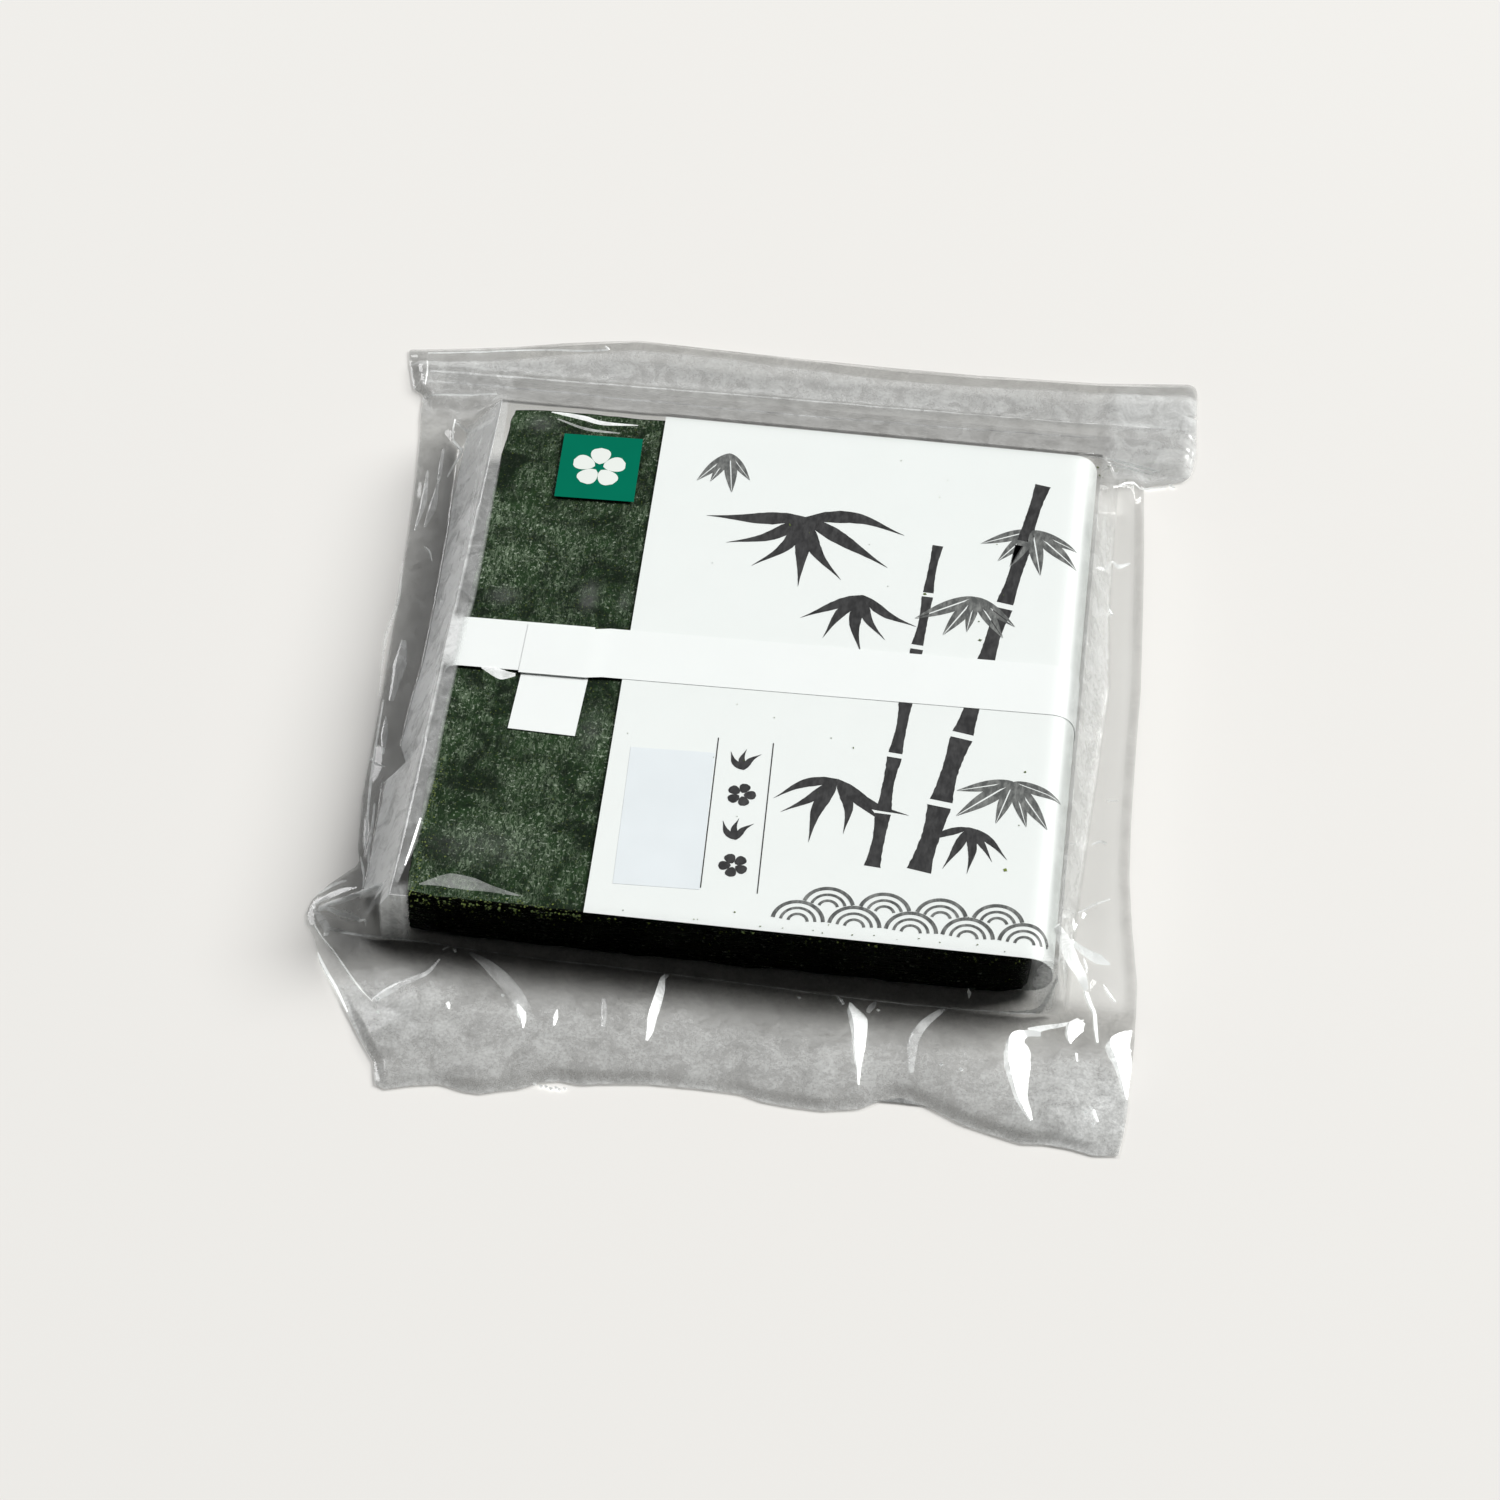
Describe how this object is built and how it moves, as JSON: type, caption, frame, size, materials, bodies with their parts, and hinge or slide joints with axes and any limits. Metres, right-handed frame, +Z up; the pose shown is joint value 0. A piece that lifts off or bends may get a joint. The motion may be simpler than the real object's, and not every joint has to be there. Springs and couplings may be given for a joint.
{
  "type": "pack of nori sheets",
  "caption": "Flat stack of roasted nori sheets in a paper wrapper and band, sealed in a clear zip bag with a flat header, paper labels and a loose bottom flap.",
  "frame": {"origin": "middle of the bag's footprint, on the surface that the pack lies on", "axes": "+Z up from the surface, +Y from the loose bottom flap to the zip header, +X to the right of the pack as it is read"},
  "size_m": [0.2726, 0.329, 0.0222],
  "materials": {
    "nori": "dry, finely mottled dark green seaweed",
    "printed_paper": "smooth white paper with grey and black brush print",
    "band_paper": "plain white paper",
    "tab_paper": "plain white paper",
    "count_paper": "cool white label paper",
    "grade_paper": "green printed label",
    "clear_film": "clear creased film",
    "zip_plastic": "clear ribbed zip"
  },
  "bodies": {
    "root": {"nori_sheet_01": "nori", "nori_sheet_02": "nori", "nori_sheet_03": "nori", "nori_sheet_04": "nori", "nori_sheet_05": "nori", "nori_sheet_06": "nori", "nori_sheet_07": "nori", "nori_sheet_08": "nori", "nori_sheet_09": "nori", "nori_sheet_10": "nori", "nori_sheet_11": "nori", "nori_sheet_12": "nori", "nori_sheet_13": "nori", "nori_sheet_14": "nori", "nori_sheet_15": "nori", "nori_sheet_16": "nori", "nori_sheet_17": "nori", "nori_sheet_18": "nori", "nori_sheet_19": "nori", "nori_sheet_20": "nori", "nori_sheet_21": "nori", "nori_sheet_22": "nori", "nori_sheet_23": "nori", "nori_sheet_24": "nori", "nori_sheet_25": "nori", "nori_sheet_26": "nori", "nori_sheet_27": "nori", "nori_sheet_28": "nori", "nori_sheet_29": "nori", "nori_sheet_30": "nori", "nori_sheet_31": "nori", "nori_sheet_32": "nori", "nori_sheet_33": "nori", "nori_sheet_34": "nori", "nori_sheet_35": "nori", "nori_sheet_36": "nori", "nori_sheet_37": "nori", "nori_sheet_38": "nori", "nori_sheet_39": "nori", "nori_sheet_40": "nori", "nori_sheet_41": "nori", "nori_sheet_42": "nori", "nori_sheet_43": "nori", "nori_sheet_44": "nori", "nori_sheet_45": "nori", "nori_sheet_46": "nori", "nori_sheet_47": "nori", "nori_sheet_48": "nori", "nori_sheet_49": "nori", "nori_sheet_50": "nori", "paper_wrapper": "printed_paper", "paper_band": "band_paper", "band_tab": "tab_paper", "count_label": "count_paper", "grade_label": "grade_paper", "bag_front_film": "clear_film", "bag_back_film": "clear_film", "zip_groove_track": "zip_plastic", "zip_rib_track": "zip_plastic"}
  },
  "joints": []
}
